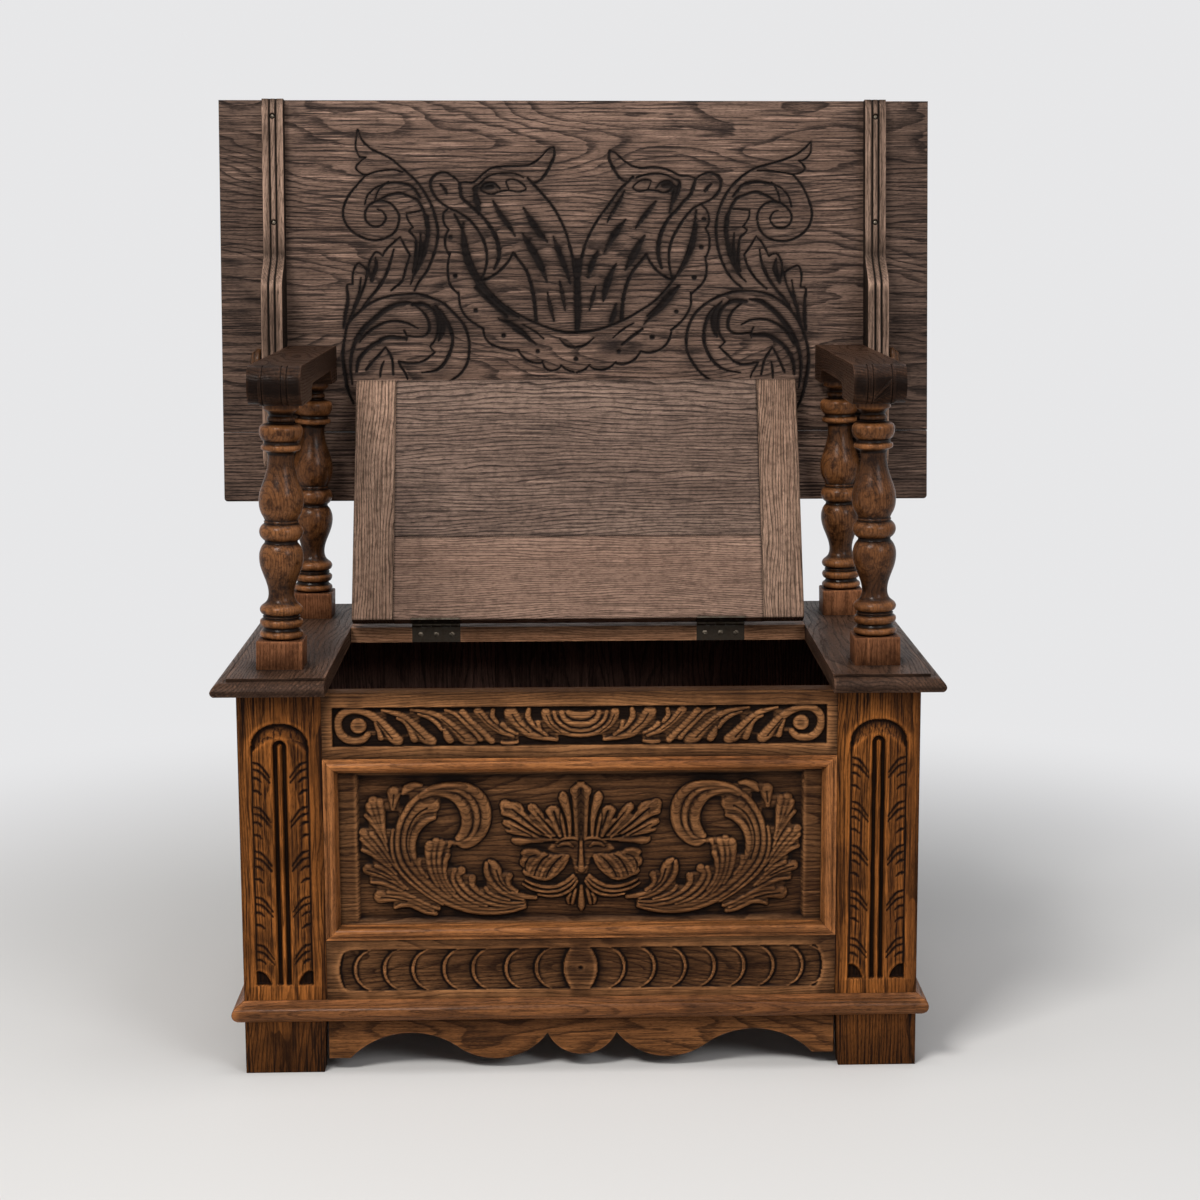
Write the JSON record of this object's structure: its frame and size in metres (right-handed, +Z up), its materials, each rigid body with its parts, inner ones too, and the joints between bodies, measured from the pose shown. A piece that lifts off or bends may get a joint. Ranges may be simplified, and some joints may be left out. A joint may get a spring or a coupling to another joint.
{
  "type": "monks bench",
  "caption": "Carved oak chest bench with turned arm posts, a lidded box seat and a sliding back rest that tips down over the arms as a table.",
  "frame": {"origin": "on the floor, under the middle of the bench's overall length and depth", "axes": "+X to the sitter's left, which is the right of someone facing the bench, +Y to the back, +Z up"},
  "size_m": [0.813, 0.486, 1.0008],
  "materials": {
    "oak_chest": "stained and waxed oak, satin",
    "oak_posts": "stained and waxed oak, satin",
    "oak_arms": "stained and waxed oak, satin",
    "oak_seat": "stained and waxed oak, satin",
    "oak_lid": "stained and waxed oak, satin",
    "oak_table": "stained and waxed oak, satin",
    "oak_battens": "stained and waxed oak, satin",
    "oak_inside": "stained and waxed oak, satin",
    "hinge_iron": "dull, with brown patina",
    "screw_steel": "dark, dull"
  },
  "bodies": {
    "chest": {"arm_left": "oak_arms", "arm_right": "oak_arms", "back_board_centre": "oak_inside", "back_board_left": "oak_inside", "back_board_right": "oak_inside", "back_bottom_rail": "oak_chest", "back_top_rail": "oak_chest", "floor_bearers": "oak_inside", "floor_board_front": "oak_inside", "floor_board_rear": "oak_inside", "front_apron": "oak_chest", "front_bottom_rail": "oak_chest", "front_panel": "oak_chest", "front_post_left": "oak_posts", "front_post_right": "oak_posts", "front_stile_left": "oak_chest", "front_stile_right": "oak_chest", "front_top_rail": "oak_chest", "hinge_leaf_seat_left": "hinge_iron", "hinge_leaf_seat_right": "hinge_iron", "hinge_pins": "hinge_iron", "hinge_screws_seat": "screw_steel", "panel_moulding_bottom": "oak_chest", "panel_moulding_left": "oak_chest", "panel_moulding_right": "oak_chest", "panel_moulding_top": "oak_chest", "plinth_front": "oak_chest", "plinth_left": "oak_chest", "plinth_right": "oak_chest", "rear_leg_left": "oak_chest", "rear_leg_right": "oak_chest", "rear_post_left": "oak_posts", "rear_post_right": "oak_posts", "seat_back_board": "oak_seat", "seat_end_left": "oak_seat", "seat_end_right": "oak_seat", "side_bottom_rail_left": "oak_chest", "side_bottom_rail_right": "oak_chest", "side_panel_left": "oak_chest", "side_panel_right": "oak_chest", "side_stile_left": "oak_chest", "side_stile_right": "oak_chest", "side_top_rail_left": "oak_chest", "side_top_rail_right": "oak_chest"},
    "lid": {"hinge_leaf_lid_left": "hinge_iron", "hinge_leaf_lid_right": "hinge_iron", "hinge_screws_lid": "screw_steel", "lid_board_lower": "oak_lid", "lid_board_upper": "oak_lid", "lid_cleat_left": "oak_lid", "lid_cleat_right": "oak_lid"},
    "pivot": {"pivot_peg_left": "oak_battens", "pivot_peg_right": "oak_battens"},
    "table": {"batten_left": "oak_battens", "batten_right": "oak_battens", "batten_screws": "screw_steel", "table_board_1": "oak_table", "table_board_2": "oak_table", "table_board_3": "oak_table", "table_board_4": "oak_table"}
  },
  "joints": [
    {"name": "lid_hinge", "type": "hinge", "parent": "chest", "child": "lid", "pos_m": [0, 0.0715, 0.4167], "axis": [1, 0, 0], "range_deg": [0, 115.67]},
    {"name": "table_tilt", "type": "hinge", "parent": "chest", "child": "pivot", "pos_m": [0, 0.1766, 0.7037], "axis": [1, 0, 0], "range_deg": [0, 95.63]},
    {"name": "table_slide", "type": "slide", "parent": "pivot", "child": "table", "axis": [0, 0.0981, 0.9952], "range_m": [0, 0.1]}
  ]
}
